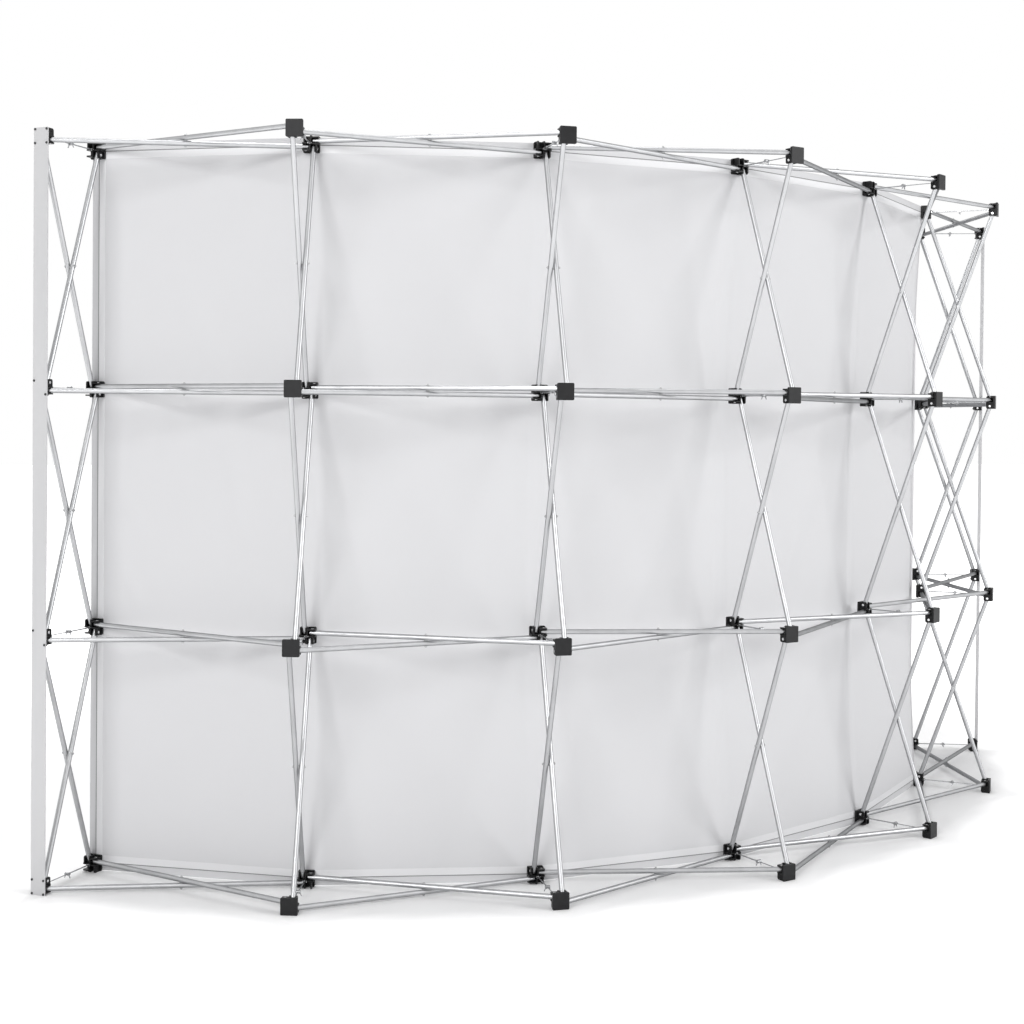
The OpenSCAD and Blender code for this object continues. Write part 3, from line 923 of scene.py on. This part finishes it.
@dataclass
class EdgeTape:
    """The tape sewn round the cloth: two strips along each edge, with a dark strip in the seam
    between them that paints the shade of the groove there.
    """

    tape: SewnTape = TAPE_FINISH
    hem: WovenCloth = HEM_FINISH
    seam: SewnTape = SEAM_SHADE_FINISH
    side_steps: int = 24
    end_gap: float = 0.0005
    rounding: float = 0.0003
    rounding_share: float = 0.4

    def path(self, edge: Edge, chord: float) -> list[tuple[Plan, Plan, float, float]]:
        """Gives the line that the tape follows along an edge of the cloth.

        Args:
            edge: The edge.
            chord: Straight length of cloth between two stations' flat places.

        Returns:
            For each place on it, its plan point, the outward direction, its height and its run.
        """
        made: list[tuple[Plan, Plan, float, float]] = []
        r, half = WALL.tape_radius, WALL.half_tape
        if edge.runs_along:
            z = WALL.level(Level.BOTTOM.value if edge is Edge.LOWER else Level.TOP.value)
            run = 0.0
            for s in range(1, WALL.stations + 1):
                for side, step in ((-half, WALL.tape_width), (half, chord)):
                    made.append((WALL.plan(s, r, side), WALL.outward(s), z, run))
                    run += step
            return made
        s = 1 if edge is Edge.LEFT else WALL.stations
        low = WALL.level(0) + half + self.end_gap
        high = WALL.level(WALL.rows) - half - self.end_gap
        for k in range(self.side_steps + 1):
            z = low + (high - low) * k / self.side_steps
            made.append((WALL.plan(s, r), WALL.outward(s), z, z))
        return made

    def ribbon(self, name: str, edge: Edge, chord: float, sides: Range, depth: float,
               material: bpy.types.Material) -> bpy.types.Object:
        """Builds one flat strip with rounded edges along an edge of the cloth.

        Args:
            name: The piece's name.
            edge: The edge it follows.
            chord: Straight length of cloth between two stations' flat places.
            sides: Its two sides, measured across the tape from the line of the hub centres.
            depth: Its thickness.
            material: Its finish.

        Returns:
            The strip.
        """
        low, high = sides
        soft = min(depth * self.rounding_share, self.rounding)
        profile = [(low, 0.0), (low, depth - soft), (low + soft, depth),
                   (high - soft, depth), (high, depth - soft), (high, 0.0)]
        path = self.path(edge, chord)
        points: list[Point] = []
        uvs: list[Plan] = []
        for (x, y), (ox, oy), z, run in path:
            for across, out in profile:
                px, py = x + ox * out, y + oy * out
                if edge.runs_along:
                    points.append((px, py, z + across))
                else:
                    points.append((px + oy * across, py - ox * across, z))
                uvs.append((run, across - low))
        n = len(profile)
        faces: list[Face] = []
        for j in range(0, (len(path) - 1) * n, n):
            for i in range(n):
                k = (i + 1) % n
                faces.append((j + i, j + n + i, j + n + k, j + k))
        faces.append(tuple(range(n)))
        faces.append(tuple(reversed(range((len(path) - 1) * n, len(path) * n))))
        return mesh_piece(name, points, faces, uvs, material, smooth=False)

    def build(self, chord: float) -> list[bpy.types.Object]:
        """Builds the tape on all four edges.

        Args:
            chord: Straight length of cloth between two stations' flat places.

        Returns:
            Its strips and seams.
        """
        tape, hem, seam = (finish.material() for finish in (self.tape, self.hem, self.seam))
        half, groove, thick = WALL.half_tape, WALL.half_seam, WALL.tape_thickness
        made: list[bpy.types.Object] = []
        for edge in Edge:
            low, high = (tape, hem) if edge in (Edge.LOWER, Edge.LEFT) else (hem, tape)
            # The seam strip is dark to paint the shade of the groove between the two strips
            for part, sides, depth, material in (
                    (f"tape_{edge.value}_a", (-half, -groove), thick, low),
                    (f"tape_{edge.value}_b", (groove, half), thick, high),
                    (f"seam_{edge.value}", (-groove, groove), thick / 2, seam)):
                made.append(self.ribbon(part, edge, chord, sides, depth, material))
        return made


@dataclass
class FabricPanel:
    """The cloth with its tape, and the pads that hold it."""

    pads: HookPile = PAD_FINISH

    def build(self) -> None:
        panel = Cloth()
        cloth = panel.build()
        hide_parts("fabric_panel")
        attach(cloth, "frame")
        strips = EdgeTape().build(panel.chord)
        for strip in strips:
            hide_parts("loop_tape")
            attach(strip, "frame")
        panel.flat_size
        apply_finish(["hook_pads"], self.pads.material())


# ---------------------------------------------------------------- studio


@dataclass(frozen=True)
class Softbox:
    """A square soft lamp far from the wall.

    Its azimuth is in degrees from +Y towards +X, and its elevation in degrees above the horizon.
    Its share is the part of full brightness that it gives to a surface that faces it.
    """

    name: str
    azimuth: float
    elevation: float
    share: float
    size: float
    distance: float = 14.0
    aim: Point = (0.0, 0.0, 1.1)

    def build(self) -> None:
        """Makes the lamp, and points it at the middle of the wall."""
        a, e, d = math.radians(self.azimuth), math.radians(self.elevation), self.distance
        towards = Vector(self.aim)
        away = Vector((math.sin(a) * math.cos(e), math.cos(a) * math.cos(e), math.sin(e)))
        data = bpy.data.lights.new(self.name, "AREA")
        data.shape = "RECTANGLE"
        data.size = data.size_y = self.size
        data.energy = self.share * math.pi * math.pi * d * d
        lamp = bpy.data.objects.new(self.name, data)
        lamp.location = towards + away * d
        lamp.rotation_mode = "QUATERNION"
        lamp.rotation_quaternion = (-away).to_track_quat("-Z", "Y")
        bpy.context.scene.collection.objects.link(lamp)
        log.info("lamp %s: %.0f W", self.name, data.energy)


SOFTBOXES = (
    Softbox("left_softbox", azimuth=60, elevation=22, share=0.36, size=4.6),
    Softbox("right_softbox", azimuth=-36, elevation=22, share=0.385, size=4.6),
    Softbox("overhead_softbox", azimuth=180, elevation=83, share=0.50, size=1.6),
    Softbox("front_softbox", azimuth=180, elevation=30, share=0.16, size=4.6),
)


def showing_rays(tree: bpy.types.NodeTree) -> Socket:
    """Gives 1 for the rays that show the white surround, and 0 for those that only light.

    Args:
        tree: The node tree it is needed in.

    Returns:
        The number's socket.
    """
    path = tree.nodes.new("ShaderNodeLightPath")
    seen = path.outputs["Is Camera Ray"]
    for ray in ("Is Glossy Ray", "Is Transmission Ray"):
        larger = tree.nodes.new("ShaderNodeMath")
        larger.operation = "MAXIMUM"
        tree.links.new(seen, larger.inputs[0])
        tree.links.new(path.outputs[ray], larger.inputs[1])
        seen = larger.outputs[0]
    return seen


@dataclass
class Studio:
    """A white floor and surround, soft lamps, and the camera at the photograph's angle.

    The camera's place, angles and focal length were fitted to the hub centres in the photograph.
    """

    focal_px: float = 1559.5
    centre_px: Plan = (494.39, 442.73)
    image_px: int = 1024
    sensor_mm: float = 36.0
    clip: Range = (0.05, 200.0)
    eye: Point = (3.32095, 4.16644, 1.41329)
    yaw: float = 0.55997
    pitch: float = 0.01501
    roll: float = 0.00885
    sky: float = 0.33
    white: float = 1.0
    floor_half: float = 40.0
    floor_colour: Colour = (0.89, 0.89, 0.893)
    floor_waves: Pattern = Pattern(3.0, 4)
    floor_wave_depth: float = 0.0004
    floor_wave_strength: float = 0.1
    far_glow: Range = (0.08, 0.70)
    far_reach: Range = (2.2, 4.6)
    painted_rim_glow: Range = (0.0, 0.2)
    painted_rim_reach: Range = (-0.03, 0.10)
    lamps: tuple[Softbox, ...] = SOFTBOXES

    def camera(self) -> None:
        """Makes the camera."""
        data = bpy.data.cameras.new("camera")
        data.sensor_width = self.sensor_mm
        data.lens = self.focal_px / self.image_px * data.sensor_width
        data.shift_x = (self.image_px / 2 - self.centre_px[0]) / self.image_px
        data.shift_y = (self.centre_px[1] - self.image_px / 2) / self.image_px
        data.clip_start, data.clip_end = self.clip
        level = math.cos(self.pitch)
        forward = Vector((-math.sin(self.yaw) * level, -math.cos(self.yaw) * level,
                          -math.sin(self.pitch)))
        right = Vector((-math.cos(self.yaw), math.sin(self.yaw), 0.0))
        up = right.cross(forward)
        c, s = math.cos(self.roll), math.sin(self.roll)
        right, up = right * c + up * s, up * c - right * s
        camera = bpy.data.objects.new("camera", data)
        turned = Matrix((right, up, -forward)).transposed().to_4x4()
        camera.matrix_world = Matrix.Translation(self.eye) @ turned
        bpy.context.scene.collection.objects.link(camera)
        bpy.context.scene.camera = camera

    def world(self) -> None:
        """Makes an even surround that lights softly and shows white."""
        world = bpy.data.worlds.new("studio")
        world.use_nodes = True
        tree = world.node_tree
        tree.nodes.clear()
        mix = tree.nodes.new("ShaderNodeMixShader")
        tree.links.new(showing_rays(tree), mix.inputs["Fac"])
        for strength, target in zip((self.sky, self.white), (mix.inputs[1], mix.inputs[2])):
            node = tree.nodes.new("ShaderNodeBackground")
            node.inputs["Color"].default_value = (1.0, 1.0, 1.0, 1.0)
            node.inputs["Strength"].default_value = strength
            tree.links.new(node.outputs[0], target)
        out = tree.nodes.new("ShaderNodeOutputWorld")
        tree.links.new(mix.outputs[0], out.inputs["Surface"])
        bpy.context.scene.world = world

    def floor(self) -> None:
        """Makes the floor, which is white in the open and keeps the object's shadow.

        To camera, glossy and transmission rays it glows with painted light that lights nothing: a
        little just behind the wall's rear hubs, which whitens the floor right outside the
        footprint and leaves the shade inside it, and more far from the wall, so that no horizon
        shows.
        """
        s = Shader("floor_white")
        s.set(Base_Color=(*self.floor_colour, 1.0), Roughness=0.9, Specular_IOR_Level=0.1)
        where = s.place()
        s.normal(s.bump(s.noise(where, self.floor_waves), self.floor_wave_depth,
                        self.floor_wave_strength))
        glows = []
        # Both glows are painted light; the second whitens the floor just outside the rear hubs and
        # leaves the shade inside them
        for centre_y, start, reach, glow in (
                (0.0, 0.0, self.far_reach, self.far_glow),
                (WALL.centre_y, WALL.rear_radius, self.painted_rim_reach, self.painted_rim_glow)):
            away = s.node("ShaderNodeVectorMath", operation="DISTANCE")
            s.link(where, away.inputs[0])
            away.inputs[1].default_value = (0.0, centre_y, 0.0)
            span = (start + reach[0], start + reach[1])
            glows.append(s.remap(away.outputs["Value"], span, glow, smooth=True))
        light = s.node("ShaderNodeEmission")
        strength = s.maths("MULTIPLY", showing_rays(s.tree), s.maths("ADD", *glows))
        s.link(strength, light.inputs["Strength"])
        both = s.node("ShaderNodeAddShader")
        s.link(s.surface.outputs[0], both.inputs[0])
        s.link(light.outputs[0], both.inputs[1])
        s.link(both.outputs[0], s.output.inputs["Surface"])
        h = self.floor_half
        corners = [(-h, -h, 0.0), (h, -h, 0.0), (h, h, 0.0), (-h, h, 0.0)]
        floor = mesh_piece("floor", corners, [(0, 1, 2, 3)], None, s.material)

    def build(self) -> None:
        """Makes the whole studio."""
        bpy.context.scene.view_settings.view_transform = "Standard"
        self.camera()
        self.world()
        self.floor()
        for lamp in self.lamps:
            lamp.build()
        log.info("studio ready")


# ---------------------------------------------------------------- main


def main() -> None:
    """Builds the studio, then each part of the wall."""
    logging.basicConfig(level=logging.INFO, format="%(name)s: %(message)s")
    Studio().build()
    Lattice().dress()
    LockingArms().dress()
    EndPosts().dress()
    FabricPanel().build()


if __name__ == "__main__":
    main()
